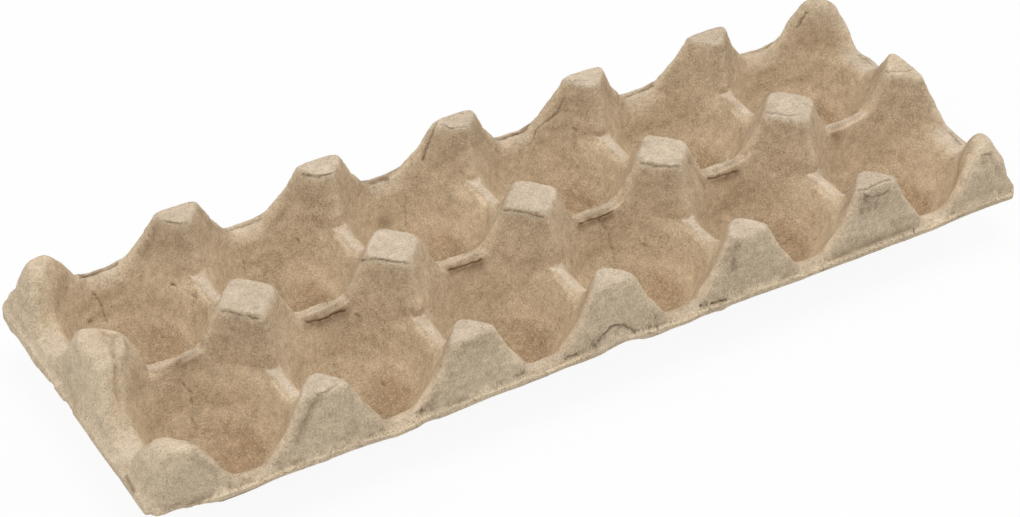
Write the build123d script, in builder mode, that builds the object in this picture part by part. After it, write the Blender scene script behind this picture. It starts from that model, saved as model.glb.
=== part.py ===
"""A moulded pulp egg tray: two rows of six cups between hollow posts, one sheet of pulp with a narrow rim."""

import os
from math import sqrt

from build123d import *

# The grid of cups, alike both ways, with a post at every corner of the grid
columns = 6
rows = 2
pitch = 47.0

# The sheet of pulp
wall = 2.0

# The top of the rim above the table, on which the cup floors rest
rim_height = 20.0

# Heights above the rim: post tops, dips along a row, dips between the rows, dips at the two ends
post_rise = 18.5
row_dip_rise = 2.2
middle_dip_rise = 4.2
end_dip_rise = 2.4

# A cup: half its flat floor, then half widths and heights above that floor where slopes and walls begin
cup_sides = 8
floor_half = 6.0
slope_half = 11.5
slope_rise = 2.3
wall_half = 17.0
wall_rise = 8.0
wall_round = 12.0

# The flat tops: across a whole post, the cut of its four corners, the outer edges along the sides and ends
post_top = 12.6
post_corner = 1.0
side_top = 11.4
end_top = 14.0

# How far the rim and the foot of the outer faces stand outside the outer posts' axes
rim_side = 3.0
rim_end = 7.5
foot_side = 2.2
foot_end = 6.4

# How far the outer edge of the flat tops stands inside those axes
crown_side = 2.3
crown_end = 0.3

# Corners of the tray in plan
rim_corner = 3.0
foot_corner = 4.0

# Flats at the bottom of the dips
row_dip_flat = 13.0
middle_dip_flat = 15.0
side_dip_flat = 10.0
end_dip_flat = 11.0

# Cuts run this far past the pulp
overrun = 8.0

# Worked out from the sizes above
half_length = pitch * columns / 2
half_width = pitch * rows / 2
rim_under = rim_height - wall
post_height = rim_height + post_rise
cut_height = post_height + overrun
mouth = pitch / sqrt(2) - post_top / 2
post_gap = pitch - post_top * sqrt(2) + 2 * post_corner
side_gap = pitch - side_top
end_gap = pitch - end_top
end_cup = half_length - pitch / 2
side_cup = half_width - pitch / 2
end_reach = half_length + rim_end + overrun
side_reach = half_width + rim_side + overrun


def section(foot, foot_height, top, top_height, start, stop):
    """Corners of a flaring section, from its half widths at two heights, drawn from start to stop."""
    lean = (top - foot) / (top_height - foot_height)
    low = foot + lean * (start - foot_height)
    high = foot + lean * (stop - foot_height)
    return (-low, start), (low, start), (high, stop), (-high, stop)


def wedge(plane, corners, length, grown):
    """A section run both ways along a plane's normal, grown or shrunk all round by a thickness."""
    with BuildPart() as run:
        with BuildSketch(plane):
            Polygon(*corners, align=None)
            if grown:
                offset(amount=grown, kind=Kind.INTERSECTION)
        extrude(amount=length, both=True)
    return run.part


def dip_section(flat, gap, bottom):
    """The section of a dip, flat at the bottom and flaring to the gap between two post tops."""
    return section(flat / 2, bottom, gap / 2, post_height, bottom, cut_height)


middle_dip = dip_section(middle_dip_flat, post_gap, rim_height + middle_dip_rise)
row_dip = dip_section(row_dip_flat, post_gap, rim_height + row_dip_rise)
side_dip = dip_section(side_dip_flat, side_gap, rim_height)
end_dip = dip_section(end_dip_flat, end_gap, rim_height + end_dip_rise)


def all_dips(grown):
    """The dips between the posts all over the tray, grown by the pulp's thickness for the underside."""
    runs = []
    for column in range(columns):
        across = Plane.XZ.shift_origin((column * pitch - end_cup, 0, 0))
        runs.append(wedge(across, middle_dip, side_cup, grown))
        for side in (-1, 1):
            runs.append(wedge(across.offset(side * side_reach), side_dip, side_reach - side_cup, grown))
    for row in range(rows):
        along = Plane.YZ.shift_origin((0, row * pitch - side_cup, 0))
        runs.append(wedge(along, row_dip, end_cup, grown))
        for side in (-1, 1):
            runs.append(wedge(along.offset(side * end_reach), end_dip, end_reach - end_cup, grown))
    return runs


def cup(grown):
    """The form of one cup, eight walls with rounded corners over a bowl of two rings of slopes."""
    slope_foot = wall + slope_rise
    wall_foot = wall + wall_rise
    walls = section(wall_half, wall_foot, mouth, post_height, wall, cut_height)
    slopes = section(slope_half, slope_foot, wall_half, wall_foot, wall, cut_height)
    shallows = section(floor_half, wall, slope_half, slope_foot, wall, cut_height)
    turned = [Plane.XZ.rotated((0, 0, turn * 360 / cup_sides)) for turn in range(cup_sides // 2)]
    with BuildPart() as form:
        add(wedge(turned[0], walls, pitch, grown))
        for plane in turned[1:]:
            add(wedge(plane, walls, pitch, grown), mode=Mode.INTERSECT)
        uprights = form.edges().filter_by(lambda edge: rim_under < edge.center().Z < post_height)
        fillet(uprights, wall_round + grown)
        for ring in (slopes, shallows):
            for plane in turned:
                add(wedge(plane, ring, pitch, grown), mode=Mode.INTERSECT)
    return form.part


def post_body(start, shrunk):
    """The block that the posts stand in, with the slope of the outer faces and rounded corners."""
    end_faces = section(
        half_length + foot_end, rim_height, half_length - crown_end, post_height, start, post_height
    )
    side_faces = section(
        half_width + foot_side, rim_height, half_width - crown_side, post_height, start, post_height
    )
    with BuildPart() as block:
        add(wedge(Plane.XZ, end_faces, side_reach, -shrunk))
        add(wedge(Plane.YZ, side_faces, end_reach, -shrunk), mode=Mode.INTERSECT)
        corners = block.edges().filter_by(lambda edge: rim_under < edge.center().Z < post_height - wall)
        fillet(corners, foot_corner - shrunk)
    return block.part


cup_hollow = cup(0)
cup_skin = cup(wall)

# The lower part of a cup's skin, which hangs below the rim
with BuildPart() as cup_bowl:
    add(cup_skin)
    split(bisect_by=Plane.XY.offset(rim_height), keep=Keep.BOTTOM)

# The hollow under the posts, one thickness of pulp inside the outer faces, tops, cups and dips
with BuildPart() as under_posts:
    add(post_body(rim_under - overrun, wall))
    with GridLocations(pitch, pitch, columns, rows):
        add(cup_skin, mode=Mode.SUBTRACT)
    add(all_dips(wall), mode=Mode.SUBTRACT)

# The tray: rim, posts and bowls, then the cups, the dips and the hollow below are taken out
with BuildPart() as egg_tray:
    with BuildSketch(Plane.XY.offset(rim_under)):
        RectangleRounded(2 * (half_length + rim_end), 2 * (half_width + rim_side), rim_corner)
    extrude(amount=wall)
    add(post_body(rim_under, 0))
    with GridLocations(pitch, pitch, columns, rows):
        add(cup_bowl.part)
    with GridLocations(pitch, pitch, columns, rows):
        add(cup_hollow, mode=Mode.SUBTRACT)
    add(all_dips(0), mode=Mode.SUBTRACT)
    add(under_posts.part, mode=Mode.SUBTRACT)

egg_tray.part.label = "egg_tray"
os.makedirs("parts", exist_ok=True)
export_step(egg_tray.part, "parts/egg_tray.step")
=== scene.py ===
"""A pulp egg tray on a pale table: the moulded sheet with soft edges, fibres, specks, cracking and a worn rim,
with painted shade in the bowls, on near flanks, along folds and creases and in lines at the rim and under the
ridges, and painted light on the rim's edge.
"""
import math

import bpy
import numpy as np
from mathutils import Matrix, Vector, noise


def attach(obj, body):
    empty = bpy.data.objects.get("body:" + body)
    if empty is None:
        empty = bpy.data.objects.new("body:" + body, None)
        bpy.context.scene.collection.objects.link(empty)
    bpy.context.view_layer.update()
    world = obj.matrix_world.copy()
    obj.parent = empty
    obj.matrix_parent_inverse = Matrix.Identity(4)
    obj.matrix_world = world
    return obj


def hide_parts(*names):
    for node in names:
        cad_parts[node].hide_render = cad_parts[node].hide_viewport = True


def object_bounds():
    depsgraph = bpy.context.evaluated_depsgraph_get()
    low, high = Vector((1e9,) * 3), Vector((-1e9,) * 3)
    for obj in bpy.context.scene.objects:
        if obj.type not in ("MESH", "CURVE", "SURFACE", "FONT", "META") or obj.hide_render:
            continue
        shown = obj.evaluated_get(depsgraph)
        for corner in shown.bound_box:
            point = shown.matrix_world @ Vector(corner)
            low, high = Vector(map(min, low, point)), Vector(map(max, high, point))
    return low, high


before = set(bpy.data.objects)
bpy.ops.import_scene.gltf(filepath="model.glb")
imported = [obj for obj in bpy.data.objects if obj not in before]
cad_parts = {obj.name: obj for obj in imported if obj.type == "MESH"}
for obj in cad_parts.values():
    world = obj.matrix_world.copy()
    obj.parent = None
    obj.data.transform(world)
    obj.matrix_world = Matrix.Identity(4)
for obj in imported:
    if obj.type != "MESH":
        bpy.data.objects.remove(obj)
cad_box = [list(corner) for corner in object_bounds()]
scene = bpy.context.scene
MM = 0.001

# The grid of cups, the rim and the post tops, in millimetres like all sizes here, with heights above the table
PITCH = 47.0
ROW = PITCH / 2
RIM = 20.0
TOP = 38.5
HALF_LENGTH = 148.5
HALF_WIDTH = 50

# How far from the middle the outer posts stand, along and across the tray
END_POST = 137.5
SIDE_POST = 41.5

# The flat bars along each row of cups, which sit a little towards the back, and the ridges between the rows
LAST_BAR = 2.5 * PITCH
BAR_SHIFT = 1.6
BAR_TOP = 22.9
RIDGE_TOP = 24.6

# The rim: its underside at the front, the round of its corners in plan, and the raised bump at the front
RIM_UNDER = 17
RIM_ROUND = 3.5
BUMP_X = 1.5
BUMP_RISE = 1.6
BUMP_SPREAD = 6

# The sheet's faces: their side while it is softened, their side afterwards, and the share kept underneath
SOFT_FACE = 0.75
FACE = 1.34
KEPT_UNDER = 0.68

# The eye: its direction, the point it looks at, its distance and its lens, as in the photograph
AZIMUTH, ELEVATION, ROLL = math.radians(-33.91), math.radians(39.44), math.radians(3.35)
TARGET = Vector((-16.27, -15.06, 32.0))
DISTANCE = 831.22
FOCUS = 2865.4
WIDTH, CENTRE_X, CENTRE_Y = 1020, 510.1, 258.4
level = Vector((math.cos(AZIMUTH), math.sin(AZIMUTH), 0))
back = Vector((
    math.sin(AZIMUTH) * math.cos(ELEVATION),
    -math.cos(AZIMUTH) * math.cos(ELEVATION),
    math.sin(ELEVATION),
))
steep = back.cross(level)
right = level * math.cos(ROLL) + steep * math.sin(ROLL)
up = steep * math.cos(ROLL) - level * math.sin(ROLL)
eye_point = TARGET + back * DISTANCE

# The pulp's colours, each from its darkest tone to its lightest; the second is painted shade, low in the bowls
# and on the near flanks of the posts, and the last is partly the rim's own paler edge and partly painted light on
# that edge and on the first end's faces
TAN = (0.385, 0.28, 0.176, 1), (0.82, 0.655, 0.452, 1)
SHADE_BROWN = (0.225, 0.143, 0.077, 1), (0.53, 0.37, 0.222, 1)
GREY = (0.45, 0.344, 0.234, 1), (0.86, 0.705, 0.508, 1)
PALE = (0.41, 0.32, 0.231, 1), (0.75, 0.622, 0.48, 1)
FRAYED_AND_LIT = (0.54, 0.41, 0.265, 1), (0.95, 0.79, 0.57, 1)

# Colours of what lies in the pulp; the stain tone also paints shade along the folds, in the creases at the rim
# and in bands under the ridges, and the crack tone also paints shade lines along the back and right-hand rim and
# under the ridges
FIBRE_TONE = (0.80, 0.67, 0.5, 1)
DARK_FIBRE_TONE = (0.25, 0.17, 0.1, 1)
STAIN_AND_SHADE_TONE = (0.22, 0.135, 0.07, 1)
PIT_TONE = (0.25, 0.16, 0.085, 1)
CRUMB_TONE = (0.24, 0.135, 0.07, 1)
FLECK_TONE = (0.15, 0.085, 0.045, 1)
CRACK_AND_SHADE_TONE = (0.12, 0.075, 0.04, 1)

# The table: its side in metres, how far it lies below the tray, how white it is, and how much it glows to the eye
TABLE_SIDE = 8
TABLE_GAP = 0.05
TABLE_WHITE = 0.78
TABLE_GLOW = 0.93

# Soft square lamps: name, place in metres and power in watts, then their side, their aim and the light all round
LAMPS = [
    ("top_lamp", (0, 0, 1.5), 15.0),
    ("right_lamp", (1.3, -0.1, 0.8), 8.9),
    ("near_left_lamp", (-0.9, -0.9, 0.8), 6.4),
    ("far_left_lamp", (-0.9, 0.9, 0.9), 6.1),
]
LAMP_SIDE = 0.9
LAMP_AIM = Vector((0, 0, 0.02))
LIGHT_ALL_ROUND = 0.07

# The worn outer edge of the rim in plan: along the front as x and y, and along the first end as y and x
FRONT_EDGE = [
    (-149, -46.8), (-142, -46.8), (-134, -47.9), (-129, -49.9), (-122, -49.1), (-117, -50.4),
    (-109, -49.2), (-96, -50.3), (-92, -49.4), (-74, -51.4), (-67, -50.7), (-64, -49.6),
    (-60, -50.6), (-40, -49.9), (-27, -49.6), (24, -50.5), (32, -49.6), (36.6, -50.6),
    (39, -49.5), (50, -50), (64, -50.5), (115, -50.8), (133, -49.7), (149, -50.7),
]
END_EDGE = [
    (-50, -146.5), (-47, -147.3), (-44, -148.8), (-29, -148.2), (5, -147.3), (11, -148.1),
    (14, -147.4), (21, -148.9), (27, -149.1), (36, -148.1), (41, -149.3), (50, -148.2),
]

# Fine cracks in the pulp, as they run in the photograph, each with its half width and depth in millimetres; the
# lines under the ridges between the rows and along the back and right-hand rim are painted shade lines, cut in as
# shallow grooves
CRACKS_AND_SHADE_LINES = [
    (0.30, 0.5, [(361, 261), (376, 259), (394, 262), (408, 263)]),
    (0.30, 0.45, [(222, 311), (240, 315), (258, 319)]),
    (0.30, 0.4, [(165, 222), (176, 224), (188, 224)]),
    (0.30, 0.5, [(303, 175), (318, 177), (332, 173)]),
    (0.30, 0.5, [(440, 124), (452, 128), (466, 126)]),
    (0.25, 0.4, [(566, 81), (587, 80)]),
    (0.30, 0.45, [(503, 210), (522, 212), (543, 218)]),
    (0.30, 0.5, [(641, 163), (654, 166), (679, 167)]),
    (0.30, 0.5, [(316, 394), (325, 392), (338, 384)]),
    (0.30, 0.8, [(858, 191), (868, 188), (880, 182), (891, 179)]),
    (0.26, 0.5, [(864, 194), (871, 198), (880, 196), (889, 191)]),
    (0.30, 0.5, [(885, 71), (898, 71), (911, 70)]),
    (0.30, 0.4, [(982, 155), (990, 154)]),
    (0.28, 0.5, [(93, 292), (100, 302), (107, 322)]),
    (0.22, 0.3, [(237, 242), (247, 274)]),
    (0.22, 0.3, [(405, 194), (406, 226)]),
    (0.28, 0.4, [(598, 219), (609, 233), (615, 262)]),
    (0.28, 0.4, [(180, 380), (192, 393), (193, 420), (198, 430)]),
    (0.25, 0.3, [(258, 407), (245, 430)]),
    (0.42, 0.7, [(599, 340), (606, 334), (614, 326), (623, 325), (636, 332)]),
    (0.50, 0.7, [(592, 346), (599, 345)]),
    (0.40, 0.4, [(656, 314), (656, 321), (658, 329)]),
    (0.30, 0.5, [(914, 228), (915, 232)]),
    (0.26, 0.5, [(497, 383), (510, 379), (524, 373)]),
    (0.28, 0.6, [(566, 359), (580, 352), (597, 346)]),
    (0.28, 0.6, [(700, 306), (708, 304), (726, 300)]),
    (0.28, 0.5, [(636, 331), (646, 329), (656, 325)]),
    (0.26, 0.5, [(414, 412), (428, 410), (433, 407)]),
    (0.26, 0.5, [(437, 123), (430, 140), (423, 160)]),
    (0.45, 0.5, [(192, 295), (195, 297)]),
    (0.45, 0.4, [(172, 285), (174, 286)]),
    (0.40, 0.4, [(217, 394), (219, 396)]),
    (0.40, 0.5, [(297, 238), (298, 242)]),
    (0.45, 0.5, [(356, 315), (359, 317)]),
    (0.45, 0.5, [(382, 383), (385, 385)]),
    (0.40, 0.4, [(643, 244), (645, 246)]),
    (0.40, 0.4, [(90, 321), (92, 323)]),
    (0.40, 0.4, [(460, 171), (462, 173)]),
    (0.40, 0.4, [(573, 128), (575, 130)]),
    # The next four, under the ridges between the rows, are painted shade beneath the crests
    (0.32, 0.5, [(307, 323), (322, 320), (335, 314), (345, 310)]),
    (0.30, 0.5, [(450, 270), (466, 266), (481, 260)]),
    (0.30, 0.5, [(580, 224), (596, 219), (613, 212)]),
    (0.30, 0.5, [(709, 179), (724, 176), (738, 171)]),
    # The next eight, along the back and right-hand rim, are painted shade behind the rim's edge
    (0.34, 0.5, [(80, 278), (98, 272), (117, 265)]),
    (0.34, 0.5, [(226, 231), (245, 225), (262, 219)]),
    (0.34, 0.5, [(368, 185), (378, 182), (390, 179)]),
    (0.34, 0.5, [(498, 140), (512, 135), (527, 130)]),
    (0.34, 0.5, [(625, 96), (640, 91), (653, 86)]),
    (0.34, 0.5, [(743, 52), (757, 48), (770, 44)]),
    (0.30, 0.5, [(858, 54), (866, 59), (873, 65)]),
    (0.30, 0.5, [(948, 131), (955, 138), (961, 144)]),
    (0.30, 0.5, [(806, 12), (803, 18), (800, 24), (797, 29)]),
    (0.28, 0.5, [(766, 111), (776, 113), (787, 115), (797, 115)]),
    (0.22, 0.4, [(563, 100), (558, 113), (544, 123), (536, 131), (534, 140), (527, 146)]),
]

# Softer folds, wider and shallower
FOLDS = [
    (0.9, 0.9, [(319, 398), (311, 410), (303, 429), (297, 442)]),
    (0.7, 0.6, [(463, 348), (474, 344), (487, 342)]),
    (0.9, 0.6, [(438, 389), (432, 402), (421, 413)]),
    (0.7, 0.8, [(737, 246), (735, 258), (733, 270)]),
    (0.6, 0.6, [(729, 250), (722, 266)]),
    (0.7, 0.8, [(867, 197), (864, 205), (861, 215)]),
    (0.7, 0.7, [(878, 199), (877, 209)]),
    (0.6, 0.6, [(871, 200), (870, 212)]),
    (0.6, 0.5, [(984, 158), (983, 167)]),
    (0.8, 0.6, [(991, 155), (996, 165), (1000, 176)]),
    (0.7, 0.6, [(157, 226), (152, 242), (141, 258)]),
    (0.6, 0.6, [(688, 158), (697, 172), (706, 188)]),
    (0.6, 0.6, [(556, 192), (565, 206), (574, 222)]),
    (0.6, 0.5, [(274, 287), (284, 300), (293, 313)]),
    (0.6, 0.9, [(112, 340), (114, 355), (117, 372)]),
    (0.6, 0.9, [(125, 337), (128, 347)]),
    (0.6, 0.8, [(115, 366), (116, 385), (118, 402)]),
    (0.7, 0.7, [(100, 331), (112, 336), (121, 334)]),
    (0.6, 0.6, [(103, 339), (110, 346), (112, 352)]),
    (0.7, 0.5, [(288, 208), (277, 222), (268, 232)]),
    (0.6, 0.4, [(479, 132), (489, 144), (500, 151)]),
    (0.6, 0.4, [(601, 80), (609, 95), (623, 105)]),
    (0.6, 0.4, [(196, 207), (211, 227), (225, 232)]),
    (0.6, 0.4, [(680, 63), (663, 82)]),
    (0.9, 0.5, [(194, 458), (205, 466), (217, 475)]),
]

# Brown marks: half width in millimetres, strength, and where they lie; the first five are painted shade in bands
# under the ridges between the rows, the rest are stains
STAINS_AND_SHADE_BANDS = [
    (1.5, 0.9, [(306, 324), (320, 321), (333, 315), (345, 311)]),
    (1.2, 0.8, [(174, 368), (190, 361), (199, 358)]),
    (1.2, 0.9, [(450, 272), (470, 266), (481, 262)]),
    (1.2, 0.9, [(580, 226), (595, 221), (613, 214)]),
    (1.2, 0.9, [(709, 180), (726, 177), (738, 172)]),
    (2.0, 0.9, [(834, 136), (838, 138)]),
    (2.2, 0.6, [(386, 222), (389, 224)]),
    (2.0, 0.5, [(726, 103), (731, 106)]),
    (0.8, 0.8, [(126, 478), (130, 485), (133, 490)]),
]


def pick(piece):
    """Select one piece alone and make it the active one."""
    bpy.ops.object.select_all(action="DESELECT")
    piece.select_set(True)
    bpy.context.view_layer.objects.active = piece


def modify(piece, kind, **settings):
    """Add a modifier to a piece, set it up and apply it."""
    pick(piece)
    bpy.ops.object.modifier_add(type=kind)
    modifier = piece.modifiers[-1]
    for name, value in settings.items():
        setattr(modifier, name, value)
    bpy.ops.object.modifier_apply(modifier=modifier.name)


def places(piece):
    """Where the points of a piece are, in millimetres."""
    points = np.empty(len(piece.data.vertices) * 3)
    piece.data.vertices.foreach_get("co", points)
    return points.reshape(-1, 3) / MM


def place(piece, points):
    """Put the points of a piece where they are to be."""
    piece.data.vertices.foreach_set("co", (points * MM).ravel())
    piece.data.update()


def facing(piece):
    """Which way the sheet faces at each of its points."""
    normals = np.empty(len(piece.data.vertices) * 3)
    piece.data.vertex_normals.foreach_get("vector", normals)
    return normals.reshape(-1, 3)


def face_centres(piece):
    """Where the faces of a piece are, in millimetres."""
    centres = np.empty(len(piece.data.polygons) * 3)
    piece.data.polygons.foreach_get("center", centres)
    return centres.reshape(-1, 3) / MM


def kept_inside(points):
    """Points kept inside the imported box."""
    low, high = (np.array(corner) / MM for corner in cad_box)
    return np.clip(points, low, high)


def weigh(piece, name, weights):
    """A vertex group that holds a weight for every point, in tenths."""
    group = piece.vertex_groups.new(name=name)
    for step in range(1, 11):
        chosen = np.nonzero(np.round(weights * 10) == step)[0]
        group.add(chosen.tolist(), step / 10, "REPLACE")


def refine(piece, chosen, cuts):
    """Cut the chosen faces of a piece into finer ones."""
    pick(piece)
    scene.tool_settings.mesh_select_mode = (False, False, True)
    bpy.ops.object.mode_set(mode="EDIT")
    bpy.ops.mesh.select_all(action="DESELECT")
    bpy.ops.object.mode_set(mode="OBJECT")
    piece.data.polygons.foreach_set("select", chosen)
    bpy.ops.object.mode_set(mode="EDIT")
    bpy.ops.mesh.subdivide(number_cuts=cuts)
    bpy.ops.object.mode_set(mode="OBJECT")


def eased(ramp):
    """A straight ramp from nothing to one, made soft at both ends."""
    return ramp * ramp * (3 - 2 * ramp)


def above(values, low, soft):
    """One above a limit, falling softly to nothing below it."""
    return eased(np.clip((values - low) / soft + 1, 0, 1))


def below(values, high, soft):
    """One below a limit, falling softly to nothing above it."""
    return eased(np.clip((high - values) / soft + 1, 0, 1))


def near(values, low, high, soft):
    """One between two limits, falling softly to nothing outside them."""
    return eased(np.clip((values - low) / soft + 1, 0, 1) * np.clip((high - values) / soft + 1, 0, 1))


def hill(x, y, middle, spread):
    """One at a place in plan, falling away round it like a bell."""
    return np.exp(-((x - middle[0]) / spread[0]) ** 2 - ((y - middle[1]) / spread[1]) ** 2)


def wander(x, y, chosen, scale, seed):
    """A smooth random height over the plan, from minus one to one at the chosen points and nothing elsewhere."""
    heights = np.zeros(len(x))
    heights[chosen] = [noise.noise((a / scale, b / scale, seed)) for a, b in zip(x[chosen], y[chosen])]
    return heights


def column_offset(x):
    """How far points are from the nearest line of posts across the tray."""
    return (x + PITCH / 2) % PITCH - PITCH / 2


def beyond_rim(x, y):
    """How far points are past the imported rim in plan, less than nothing inside it."""
    return np.maximum(np.abs(x) - HALF_LENGTH, np.abs(y) - HALF_WIDTH)


def front_wear(x):
    """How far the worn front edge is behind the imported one, or below nothing where it bulges."""
    return np.interp(x, *np.transpose(FRONT_EDGE)) + HALF_WIDTH


def end_wear(y):
    """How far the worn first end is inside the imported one, or below nothing where it bulges."""
    return np.interp(y, *np.transpose(END_EDGE)) + HALF_LENGTH


def bar_zone(x, y, z, margin):
    """The flat bars between the posts along each row of cups."""
    along = np.abs(np.abs(y) - ROW)
    inside = below(np.abs(column_offset(x)), 2 + margin, 2) * below(along, 6 + margin, 2)
    return inside * near(z, 20.5, 23.5, 1.5) * (np.abs(x) < LAST_BAR)


def ridge_zone(x, y, z, margin):
    """The ridges between the two rows of cups."""
    along = PITCH / 2 - np.abs(column_offset(x))
    return below(along, 8 + margin, 2) * below(np.abs(y), 2 + margin, 2) * near(z, 22.5, 25.5, 1.5)


def rim_zone(x, y, z, width):
    """The flat rim round the tray."""
    return above(beyond_rim(x, y), -width, 1.5) * near(z, 16, 21, 1)


def bar_along(y):
    """How far points are along a bar from its middle."""
    return y - BAR_SHIFT - np.where(y > BAR_SHIFT, ROW, -ROW)


def bar_shape(beside, along):
    """A bar between two cups: narrow and flat, with a wider head at its far end."""
    return np.maximum(
        below(np.abs(along), 6, 0.6) * below(beside, 1.25, 0.5),
        near(along, 4.9, 6.6, 0.5) * below(beside, 2.1, 0.5),
    )


def swollen(points, normals):
    """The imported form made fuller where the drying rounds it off: tops, rim edge, corner and end posts."""
    x, y, z = (points + 0.25 * normals).T.copy()
    rim_edge = near(z, 17.5, 20.6, 0.6)
    x = x + 1.1 * np.sign(x) * rim_edge * above(np.abs(x), 147.5, 1)
    y = y + 1.1 * np.sign(y) * rim_edge * above(np.abs(y), 49, 1)
    z = z - near(z, 16, 18.5, 0.5) * above(beyond_rim(x, y), -1.5, 1)

    # Each post swells away from its axis, the corner posts and the first end's post most
    axis_x = np.clip(np.round(x / PITCH) * PITCH, -END_POST, END_POST)
    axis_y = np.clip(np.round(y / PITCH) * PITCH, -SIDE_POST, SIDE_POST)
    reach = np.maximum(np.hypot(x - axis_x, y - axis_y), 0.5)
    at_side = np.abs(axis_y) == SIDE_POST
    corner = (np.abs(axis_x) == END_POST) & at_side
    first_end = (axis_x == -END_POST) & (axis_y == 0)
    swell = np.where(at_side, 0.9, 0.2) * above(z, 34, 6)
    swell = np.where(corner | first_end, 1.9 * above(z, 33, 10), swell)
    swell = swell * np.clip(reach / 2.5, 0, 1) * below(reach, 9, 7)
    x = x + (x - axis_x) / reach * swell
    y = y + (y - axis_y) / reach * swell
    z = z + np.where(corner, 0, np.where(at_side, 0.8, 0.4)) * above(z, 36.5, 2)
    return np.stack([x, y, z], 1)


def hand_worked(points):
    """The moulded form with what the drying, the stacking and the hands did to it."""
    x, y, z = points.T.copy()
    rise = np.clip((z - RIM) / (TOP - RIM), 0, 1)
    y = y + BAR_SHIFT * bar_zone(x, y, z, 4)

    # The first end's middle post leans out and is domed
    first_end = hill(x, y, (-141, 0), (15, 15)) * rise
    x = x - first_end
    z = z + first_end * (1.6 - 0.022 * ((x + 137) ** 2 + (y - 2) ** 2))
    y = y + first_end

    # The corner posts are low and domed, and the front one at the last end leans in
    last_corner = hill(x, y, (139, -43), (13, 13)) * rise
    x = x - 1.4 * last_corner
    y = y + 2.2 * last_corner
    corners = hill(np.abs(x), np.abs(y), (139, 43), (12, 12)) * rise
    z = z - np.where(x * y > 0, 1.0, 1.7) * corners
    z = z - 0.022 * corners * ((np.abs(x) - 137) ** 2 + (np.abs(y) - 41) ** 2)

    # The feet of two corner posts spread, and the crown of a third is pushed in
    foot = near(z, 20.5, 24, 3) * hill(x, y, (-146, 48), (9, 9))
    x = x - 0.8 * foot
    y = y + 1.6 * foot
    foot = near(z, 20, 29, 3) * hill(x, y, (146, -46), (7, 9))
    x = x + foot
    crown = near(z, 26, 36, 4) * hill(x, y, (143, 43), (9, 9))
    x = x - 0.8 * crown

    # The lands between the side posts sag
    middle = PITCH / 2 - np.abs(column_offset(x))
    land = below(middle, 6, 5) * near(np.abs(y), 40, 44.5, 2.5) * near(z, 15, 21, 2)
    z = z - 1.3 * land

    # The rim waves at the far sides, and is frayed and torn all round
    rim = rim_zone(x, y, z, 4)
    wave = wander(x, y, rim > 0, 22, 3.7)
    fray = wander(x, y, rim > 0, 6, 9.1) + 0.6 * wander(x, y, rim > 0, 2.4, 5.5)
    far = np.maximum(above(y, 30, 10), above(x, 130, 8))
    z = z + rim * (0.4 * far * wave + 0.2 * fray)
    torn = np.clip(0.6 * fray, 0, 1)
    y = y - rim * above(np.abs(y), 47, 1.5) * np.sign(y) * torn
    x = x - rim * above(np.abs(x), 145, 1.5) * np.sign(x) * torn

    # The front and the first end are worn back, and hang lower where they bulge
    front, end = front_wear(x), end_wear(y)
    front_rim = rim * above(-y, 46.5, 2)
    end_rim = rim * above(-x, 145, 2)
    y = y + front_rim * np.maximum(front, 0)
    x = x + end_rim * np.maximum(end, 0)
    z = z + front_rim * np.minimum(front, 0) + 1.4 * end_rim * np.minimum(end, 0)
    x = x + 0.75 * end_rim * np.clip(z - 18.2, 0, 2)

    # The back rim, the last end's dip and the front rim are raised in one place each
    z = z + 0.9 * above(y, 44, 2) * near(x, -128, -107, 5) * near(z, 15, 22, 2)
    z = z + 1.1 * above(x, 138, 3) * near(y, 15, 26, 5) * near(z, 15, 25, 2)
    bump = np.exp(-((x - BUMP_X) ** 2 + (y + HALF_WIDTH) ** 2) / BUMP_SPREAD ** 2) * near(z, 15, 22, 2)
    y = y + 0.6 * bump
    z = z + BUMP_RISE * bump
    return np.stack([x, y, z], 1)


def pressed(points, normals):
    """The narrow flat bars, the wavy crests between the cups and the thin rim, as the mould leaves them."""
    x, y, z = points.T.copy()
    facing_up = np.clip(normals[:, 2] * 3, 0, 1)
    level_with = near(z, 19.5, 23.5, 1) * facing_up * (np.abs(x) < LAST_BAR)
    z = z + bar_shape(np.abs(column_offset(x)), bar_along(y)) * level_with * (BAR_TOP - z)
    zone = ridge_zone(x, y, z, 2) * facing_up
    crest = y - 0.9 * np.sin(x / 5.3) * np.sin(x / 13 + 1)
    ridge = RIDGE_TOP + 0.5 * np.sin(x / 2.9) * np.sin(x / 7.7) - 1.8 * np.maximum(0, np.abs(crest) - 0.4)
    z = z + zone * 0.85 * below(np.abs(crest), 1.1, 1.0) * (ridge - z)

    # The front rim is squeezed thin, and its upper edge is set back
    under = RIM_UNDER + np.minimum(front_wear(x), 0) + BUMP_RISE * np.exp(-((x - BUMP_X) / BUMP_SPREAD) ** 2)
    edge = above(-y, 48.9, 0.7) * near(z - under, -3, 4.5, 1)
    z = z + edge * (under + 0.3 + 0.43 * (z - under) - z)
    y = y + 0.7 * above(-y, 46, 2) * np.clip((z - under - 1.8) / 0.8, 0, 1) * near(z, 14, 21, 4)

    # The corners of the rim are round in plan, and the dent that this leaves in the worn one is filled
    over_x = np.maximum(np.abs(x) - (HALF_LENGTH - RIM_ROUND), 0)
    over_y = np.maximum(np.abs(y) - (HALF_WIDTH - RIM_ROUND), 0)
    shrink = np.minimum(1, RIM_ROUND / np.maximum(np.hypot(over_x, over_y), 0.1)) - 1
    x = x + np.sign(x) * over_x * shrink
    y = y + np.sign(y) * over_y * shrink
    dent = 0.45 * np.exp(-((x + 147.4) ** 2 + (y + 45.5) ** 2)) * near(z, 15, 20, 1)
    return np.stack([x - dent, y - dent, z], 1)


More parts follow.
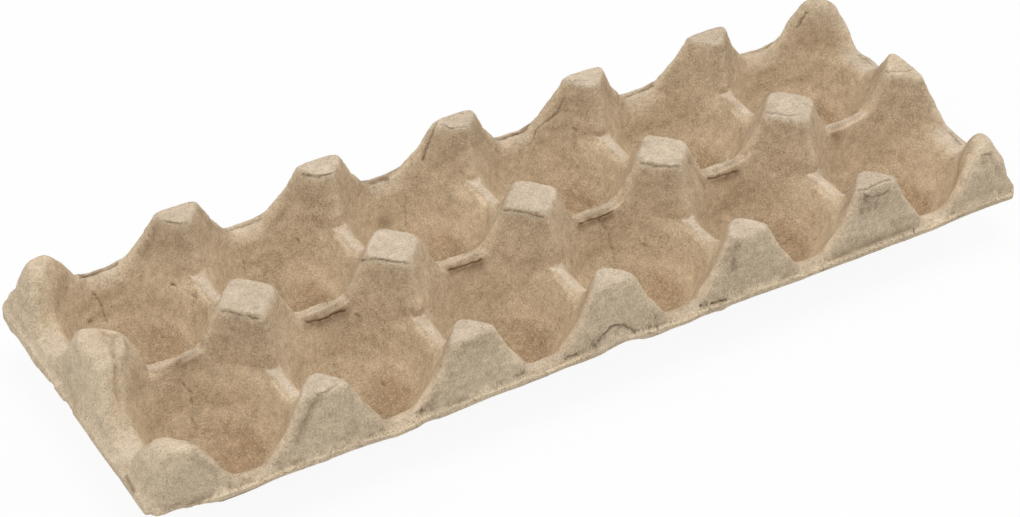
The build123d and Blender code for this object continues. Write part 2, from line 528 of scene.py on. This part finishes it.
def moulded_sheet():
    """The tray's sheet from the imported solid, rebuilt in even faces and softened as wet pulp dries."""
    pick(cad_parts["egg_tray"])
    bpy.ops.object.duplicate()
    sheet = bpy.context.view_layer.objects.active
    sheet.name = "pulp_sheet"
    bpy.ops.object.mode_set(mode="EDIT")
    bpy.ops.mesh.select_all(action="SELECT")
    bpy.ops.mesh.remove_doubles(threshold=0.01 * MM)
    bpy.ops.object.mode_set(mode="OBJECT")
    modify(sheet, "REMESH", mode="VOXEL", voxel_size=SOFT_FACE * MM, adaptivity=0)

    # Bars, ridges, rim and most tops keep their form while the rest softens
    x, y, z = places(sheet).T
    firm = np.maximum.reduce([bar_zone(x, y, z, 0), ridge_zone(x, y, z, 0), rim_zone(x, y, z, 3)])
    weigh(sheet, "loose", 1 - 0.7 * firm)
    domed = (np.abs(x) > 125) & (np.abs(y) > 30)
    leaning = (x < -125) & (np.abs(y) < 30)
    firm_top = np.where(leaning, 0.25, np.where(domed, 0.7, 0.85)) * above(z, 36.5, 2)
    weigh(sheet, "soft", 1 - np.maximum(firm, firm_top))
    place(sheet, swollen(places(sheet), facing(sheet)))
    modify(sheet, "SMOOTH", factor=0.5, iterations=6, vertex_group="loose")
    modify(sheet, "SMOOTH", factor=0.5, iterations=13, vertex_group="soft")
    place(sheet, hand_worked(places(sheet)))
    modify(sheet, "REMESH", mode="VOXEL", voxel_size=FACE * MM, adaptivity=0)
    modify(sheet, "SMOOTH", factor=0.5, iterations=1)
    for name, size, strength in (("lumps", 11, 0.7), ("dimples", 3.2, 0.35)):
        texture = bpy.data.textures.new(name, "CLOUDS")
        texture.noise_scale = size * MM
        texture.noise_depth = 1
        modify(sheet, "DISPLACE", texture=texture, texture_coords="LOCAL", strength=strength * MM, mid_level=0.5)

    # Fewer faces underneath, and finer ones where the form is narrow
    x, y, z = places(sheet).T
    downward = np.clip(-4 * facing(sheet)[:, 2] - 0.2, 0, 1)
    weigh(sheet, "under", downward * (1 - above(beyond_rim(x, y), -4, 1)))
    modify(sheet, "DECIMATE", ratio=KEPT_UNDER, vertex_group="under")
    x, y, z = face_centres(sheet).T
    refine(sheet, ridge_zone(x, y, z, 0) > 0.3, 1)
    x, y, z = face_centres(sheet).T
    refine(sheet, bar_zone(x, y - BAR_SHIFT, z, 0) > 0.3, 2)
    x, y, z = face_centres(sheet).T
    refine(sheet, (rim_zone(x, y, z, 2.5) > 0.3) & ((y < -40) | (x < -140)), 1)
    place(sheet, pressed(places(sheet), facing(sheet)))
    place(sheet, kept_inside(places(sheet)))
    return sheet


def on_sheet(sheet, pixel):
    """The point of the sheet that shows at a place in the photograph, in millimetres."""
    line = right * (pixel[0] - CENTRE_X) / FOCUS - up * (pixel[1] - CENTRE_Y) / FOCUS - back
    hit, spot, _, _ = sheet.ray_cast(eye_point * MM, line.normalized())
    return np.array(spot) / MM if hit else None


def traced(sheet, lines, jitter, chance):
    """Lines of the photograph laid on the sheet in short steps, each with a width and a strength."""
    steps = []
    for width, strength, pixels in lines:
        path = []
        for first, second in zip(pixels, pixels[1:]):
            first, second = np.array(first, float), np.array(second, float)
            count = max(1, round(np.linalg.norm(second - first) / 2.5))
            path += [first + (second - first) * part / count for part in range(count)]
        path.append(np.array(pixels[-1], float))
        spots = [on_sheet(sheet, pixel + jitter * chance.normal(size=2)) for pixel in path]
        for first, second in zip(spots, spots[1:]):
            if first is not None and second is not None and np.linalg.norm(second - first) < 5:
                step_width = width * chance.uniform(0.7, 1.2)
                step_strength = strength * chance.uniform(0.5, 1)
                steps.append((step_width, step_strength, first, second))
    return steps


def reach_of(points, steps):
    """How strongly lines mark the points near them."""
    mark = np.zeros(len(points))
    for width, strength, first, second in steps:
        run = second - first
        box = np.abs(run) / 2 + 2.5 * width
        close = np.nonzero((np.abs(points - (first + second) / 2) < box).all(axis=1))[0]
        offset = points[close] - first
        share = np.clip(offset @ run / max(run @ run, 1e-9), 0, 1)
        gap = np.linalg.norm(offset - share[:, None] * run, axis=1)
        mark[close] = np.maximum(mark[close], strength * np.exp(-(gap / width) ** 2))
    return mark


def crack_and_shade(sheet):
    """Cut the split lines of the pulp, the painted shade lines and the folds into the sheet, with finer faces
    beside the lines, and say where the marks and the painted shade lie.
    """
    bpy.context.view_layer.update()
    chance = np.random.default_rng(7)
    crack_and_shade_steps, folds = traced(sheet, CRACKS_AND_SHADE_LINES, 0.5, chance), traced(sheet, FOLDS, 0.4, chance)
    stain_and_shade_steps = traced(sheet, STAINS_AND_SHADE_BANDS, 1.2, chance)
    beside = reach_of(face_centres(sheet), [(1.0, 1, first, second) for _, _, first, second in crack_and_shade_steps])
    refine(sheet, beside > 0.45, 2)
    points = places(sheet)
    fold = reach_of(points, folds)
    depth = np.maximum(reach_of(points, crack_and_shade_steps), fold)
    shades = [(width, min(1, 2 * deep), first, second) for width, deep, first, second in crack_and_shade_steps]
    place(sheet, kept_inside(points - facing(sheet) * depth[:, None]))
    return reach_of(points, shades), fold, reach_of(points, stain_and_shade_steps)


def mark_up(sheet, cut_and_shade, fold, stain_and_shade):
    """Keep on the sheet where it is cracked and where shade lines are painted, pale, darkened by stains and by
    painted shade, grey, fraying and painted lighter at the rim, and painted with shade deep in the bowls and on
    near flanks.
    """
    x, y, z = places(sheet).T
    nx, ny, nz = facing(sheet).T
    out = beyond_rim(x, y)

    # Pale where the mould pressed it: tops, bars, ridges and lands
    flat = np.clip((nz - 0.45) / 0.35, 0, 1)
    tops = above(z, 36.5, 2) * flat * (1 - 0.6 * above(np.abs(x), 127, 3))
    bars = bar_shape(np.abs(column_offset(x)), bar_along(y))
    bars = bars * near(z, 21.8, 23.4, 0.6) * np.clip((nz - 0.6) / 0.2, 0, 1) * (np.abs(x) < LAST_BAR)
    ridges = ridge_zone(x, y, z, -1) * below(np.abs(y), 0.9, 0.8) * flat
    lands = above(np.maximum(np.abs(x) - 141, np.abs(y) - 43), -1, 1.5) * near(z, 18.5, 24, 1) * flat
    lands = lands * np.where(np.abs(x) > 136, 1.9, 1)
    pale = np.clip(tops + bars + 0.8 * ridges + 0.5 * lands, 0, 1)

    # Grey on the outer faces
    side = above(np.abs(y), 43.5, 1.5) * np.sign(y) * ny
    end = above(np.abs(x), 138, 1.5) * np.sign(x) * nx
    grey = np.clip(1.6 * np.maximum(side, end), 0, 1)

    # Frayed and paler along the rim's edge, partly the pulp's own worn edge and partly painted light that lifts
    # the edge out of its shade, and half as much on the faces at the first end, where it is painted light on the
    # faces turned to the front and the end
    first_edge = above(-x, 143, 3)
    frayed = above(out, -1.7, 0.5) * near(z, 14, 19.2, 0.4) * (1 - 0.7 * first_edge)
    frayed = np.maximum(frayed, 0.5 * above(-x, 138, 2) * np.clip(2 * np.maximum(-nx, -ny), 0, 1))

    # Dark in stains and in painted shade: bands under the ridges, the folds, and a broken crease along the rim,
    # darker at the back
    at_rim = above(out, -4, 1) * near(z, 17, 22, 1) > 0
    # A noise that breaks up the painted shade in the crease along the rim
    worn = wander(x, y, at_rim, 9, 2.3) + wander(x, y, at_rim, 2.5, 4.1)
    front_line = near(z, 18.8, 19.9, 0.4) * near(out, -1.6, -1.2, 0.4)
    back_line = near(z, 19, 22, 0.5) * near(out, -1.9, -1.3, 0.5)
    crease = np.where(y < 0, front_line, back_line) * np.clip(0.55 + 0.9 * worn, 0, 1) * (1 - 0.8 * first_edge)
    dark = np.clip(stain_and_shade + 0.8 * fold + crease * np.where(y > 45, 0.9, 0.6), 0, 1)

    # Painted shade in brown: low in the bowls, most at their front, and on the near flanks of the middle and back
    # posts
    across, along = (x % PITCH) - PITCH / 2, y - np.where(y > 0, ROW, -ROW)
    ahead = np.clip((6 - along + 0.5 * across) / 12, 0, 1)
    bowl_shade = below(z, 5, 6) * np.clip(nz * 3 - 0.5, 0, 1) * (0.45 + 0.65 * ahead) * np.where(y > 0, 1.12, 1.1)
    flanks = near(z, 24, 35, 3)
    shaded = np.clip(1.7 * (-0.6 * nx - 0.7 * ny) - 0.4, 0, 1) * flanks * below(np.abs(y), 14, 5)
    behind = near(y, 30, 43, 3) * flanks * np.clip(-1.5 * ny, 0, 1)
    brown = np.clip(bowl_shade + 0.33 * shaded + 0.15 * behind, 0, 1)

    marks = sheet.data.attributes.new("marks", "FLOAT_COLOR", "POINT")
    marks.data.foreach_set("color", np.stack([cut_and_shade, pale, dark, grey], 1).astype(np.float32).ravel())
    for name, values in (("frayed", frayed), ("brown", brown)):
        layer = sheet.data.attributes.new(name, "FLOAT", "POINT")
        layer.data.foreach_set("value", values.astype(np.float32))


class Wire:
    """A socket among a material's nodes, on which sums are written as plain maths."""

    def __init__(self, tree, socket=None):
        self.tree = tree
        self.socket = socket

    def add(self, kind, settings=None, sockets=None, out=0):
        """Another node of the same material: its settings first, then the values or links of its sockets."""
        node = self.tree.nodes.new("ShaderNode" + kind)
        for name, value in (settings or {}).items():
            if name == "stops":
                while len(node.color_ramp.elements) < len(value):
                    node.color_ramp.elements.new(1)
                for stop, (position, shade) in zip(node.color_ramp.elements, value):
                    stop.position = position
                    stop.color = (shade, shade, shade, 1)
            else:
                setattr(node, name, value)
        for name, value in (sockets or {}).items():
            if isinstance(value, Wire):
                self.tree.links.new(value.socket, node.inputs[name])
            else:
                node.inputs[name].default_value = value
        return Wire(self.tree, node.outputs[out])

    def output(self, name):
        """Another output of the same node."""
        return Wire(self.tree, self.socket.node.outputs[name])

    def maths(self, operation, first, second):
        """A sum of two values or sockets."""
        return self.add("Math", {"operation": operation}, {0: first, 1: second})

    def __add__(self, other):
        return self.maths("ADD", self, other)

    __radd__ = __add__

    def __sub__(self, other):
        return self.maths("SUBTRACT", self, other)

    def __rsub__(self, other):
        return self.maths("SUBTRACT", other, self)

    def __mul__(self, other):
        return self.maths("MULTIPLY", self, other)

    __rmul__ = __mul__

    def __gt__(self, other):
        return self.maths("GREATER_THAN", self, other)

    def ramp(self, low, high):
        """Nothing below one value, all above another, straight between."""
        return self.add("MapRange", {}, {"Value": self, "From Min": low, "From Max": high})

    def paint(self, under, over):
        """One colour laid over another where this value is high."""
        settings = {"data_type": "RGBA", "clamp_factor": True}
        return self.add("Mix", settings, {"Factor": self, 6: under, 7: over}, out=2)


def pulp_finish():
    """Dry moulded pulp: mottled tan with fibres, specks, pale pressed tops, grey outer faces and dark cracking,
    with painted shade low in the bowls, on near flanks, along folds and creases and in lines and bands at the rim
    and under the ridges, and painted light on the rim's edge and on the first end's faces.
    """
    finish = bpy.data.materials.new("moulded_pulp")
    finish.use_nodes = True
    tree = finish.node_tree
    shader = tree.nodes["Principled BSDF"]
    start = Wire(tree)
    spot = start.add("Mapping", {}, {"Vector": start.add("TexCoord", out=3), "Scale": (1 / MM, 1 / MM, 1 / MM)})

    def cloud(scale, detail, rough=0.55, stretch=None, turned=(0, 0, 0)):
        """Random tones over the pulp, as fine as the scale per millimetre says."""
        where = spot
        if stretch:
            where = start.add("Mapping", {}, {"Vector": spot, "Rotation": turned, "Scale": stretch})
        sockets = {"Vector": where, "Scale": scale, "Detail": detail, "Roughness": rough}
        return start.add("TexNoise", {}, sockets)

    def threads(stretch, turned, low, high):
        """Fibres that run one way through the pulp."""
        return cloud(1.0, 1, 0.5, stretch, turned).ramp(low, high)

    def specks(scale, small, large, rarity):
        """Dots at random places, of which only the lucky ones show."""
        dots = start.add("TexVoronoi", {}, {"Vector": spot, "Scale": scale, "Randomness": 1})
        luck = start.add("SeparateColor", {}, {"Color": dots.output("Color")})
        return (1 - dots.ramp(small, large)) * (luck > rarity)

    blotch = cloud(0.07, 3)
    mottle = cloud(0.4, 4, 0.6)
    grain = cloud(2.3, 2, 0.6)
    fibres = (
        threads((0.4, 2.2, 2.2), (0.3, 0.2, 0.4), 0.55, 0.68)
        + threads((2.0, 0.4, 2.0), (0.5, 0.1, 0.2), 0.55, 0.68)
        + threads((2.1, 2.1, 0.4), (0.2, 0.5, 0.7), 0.55, 0.68)
    )
    dark_fibres = (
        threads((0.45, 1.9, 1.9), (0.1, 0.6, 1.1), 0.52, 0.76)
        + threads((1.9, 1.9, 0.45), (0.7, 0.2, 0.3), 0.52, 0.76)
    )
    flecks = specks(0.3, 0.05, 0.1, 0.78)
    crumbs = specks(0.85, 0.1, 0.2, 0.8)
    marks = start.add("Attribute", {"attribute_name": "marks"})
    parts = start.add("SeparateColor", {}, {"Color": marks})
    cut_and_shade, pale, stain_and_shade = parts.output("Red"), parts.output("Green"), parts.output("Blue")
    grey = marks.output("Alpha")
    frayed = start.add("Attribute", {"attribute_name": "frayed"}, out=2)
    brown = start.add("Attribute", {"attribute_name": "brown"}, out=2)
    pits = cloud(1.1, 2).ramp(0.58, 0.66) * frayed.ramp(0.5, 1)

    # Each colour is laid over the ones before it
    tone = grain * 1.45 + mottle * 1.25 + blotch * 0.9 - 1.3
    coarse = tone + grain * 0.7 - 0.35
    colour = tone.paint(*TAN)
    for share, over in (
        # painted shade, low in the bowls and on the near flanks of the posts
        (brown * 0.9, tone.paint(*SHADE_BROWN)),
        (grey * 0.75, coarse.paint(*GREY)),
        (pale * 0.9, tone.paint(*PALE)),
        # the rim's worn edge, partly painted light there and on the first end's faces
        (frayed * 0.8, coarse.paint(*FRAYED_AND_LIT)),
        (fibres * 0.24, FIBRE_TONE),
        (dark_fibres * 0.24, DARK_FIBRE_TONE),
        # stains, with painted shade along the folds, in the rim's creases and under the ridges
        (stain_and_shade * (0.5 + 0.9 * mottle), STAIN_AND_SHADE_TONE),
        (pits * 0.5, PIT_TONE),
        (crumbs * 0.45, CRUMB_TONE),
        (flecks * 0.75, FLECK_TONE),
        # cracks, with painted shade lines along the back and right-hand rim and under the ridges
        (cut_and_shade * 0.75, CRACK_AND_SHADE_TONE),
    ):
        colour = share.paint(colour, over)
    tree.links.new(colour.socket, shader.inputs["Base Color"])
    shader.inputs["Roughness"].default_value = 0.92
    shader.inputs["Specular IOR Level"].default_value = 0.25
    height = mottle * 0.5 + grain * 0.55 + fibres * 0.15 + (frayed + pale + grey) * grain * 0.5 - pits * 0.6
    relief = start.add("Bump", {}, {"Height": height, "Strength": 0.55, "Distance": 0.5 * MM})
    tree.links.new(relief.socket, shader.inputs["Normal"])
    return finish


def table_top():
    """A plain white table that keeps the tray's shadow."""
    bpy.ops.mesh.primitive_plane_add(size=TABLE_SIDE, location=(0, 0, -TABLE_GAP * MM))
    table = bpy.context.object
    table.name = "table"
    finish = bpy.data.materials.new("white_table")
    finish.use_nodes = True
    tree = finish.node_tree
    start = Wire(tree)
    shader = tree.nodes["Principled BSDF"]
    shader.inputs["Base Color"].default_value = (TABLE_WHITE, TABLE_WHITE, TABLE_WHITE, 1)
    shader.inputs["Roughness"].default_value = 0.9
    glow = start.add("Emission", {}, {"Color": (1, 1, 1, 1), "Strength": 1})
    seen = start.add("LightPath").output("Is Camera Ray") * TABLE_GLOW
    blend = start.add("MixShader", {}, {0: seen, 1: Wire(tree, shader.outputs[0]), 2: glow})
    tree.links.new(blend.socket, tree.nodes["Material Output"].inputs["Surface"])
    table.data.materials.append(finish)


def soft_lamp(name, spot, power):
    """A square lamp aimed at the tray."""
    lamp = bpy.data.lights.new(name, "AREA")
    lamp.size = LAMP_SIDE
    lamp.energy = power
    holder = bpy.data.objects.new(name, lamp)
    scene.collection.objects.link(holder)
    holder.location = spot
    holder.rotation_euler = (LAMP_AIM - Vector(spot)).to_track_quat("-Z", "Y").to_euler()


def studio():
    """White all round, with soft lamps above, seen as in the photograph."""
    world = bpy.data.worlds.new("studio")
    scene.world = world
    world.use_nodes = True
    background = world.node_tree.nodes["Background"]
    background.inputs["Color"].default_value = (1, 1, 1, 1)
    background.inputs["Strength"].default_value = LIGHT_ALL_ROUND
    for name, spot, power in LAMPS:
        soft_lamp(name, spot, power)
    lens = bpy.data.cameras.new("lens")
    lens.sensor_fit = "HORIZONTAL"
    lens.sensor_width = 36
    lens.lens = FOCUS / WIDTH * lens.sensor_width
    lens.clip_start = 0.01
    camera = bpy.data.objects.new("camera", lens)
    scene.collection.objects.link(camera)
    camera.matrix_world = Matrix.Translation(eye_point * MM) @ Matrix((right, up, back)).transposed().to_4x4()
    scene.camera = camera


sheet = moulded_sheet()
cut_and_shade, fold, stain_and_shade = crack_and_shade(sheet)
pick(sheet)
bpy.ops.object.shade_smooth()
mark_up(sheet, cut_and_shade, fold, stain_and_shade)
sheet.data.materials.clear()
sheet.data.materials.append(pulp_finish())
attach(sheet, "root")
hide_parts("egg_tray")
table_top()
studio()
scene.view_settings.view_transform = "Standard"
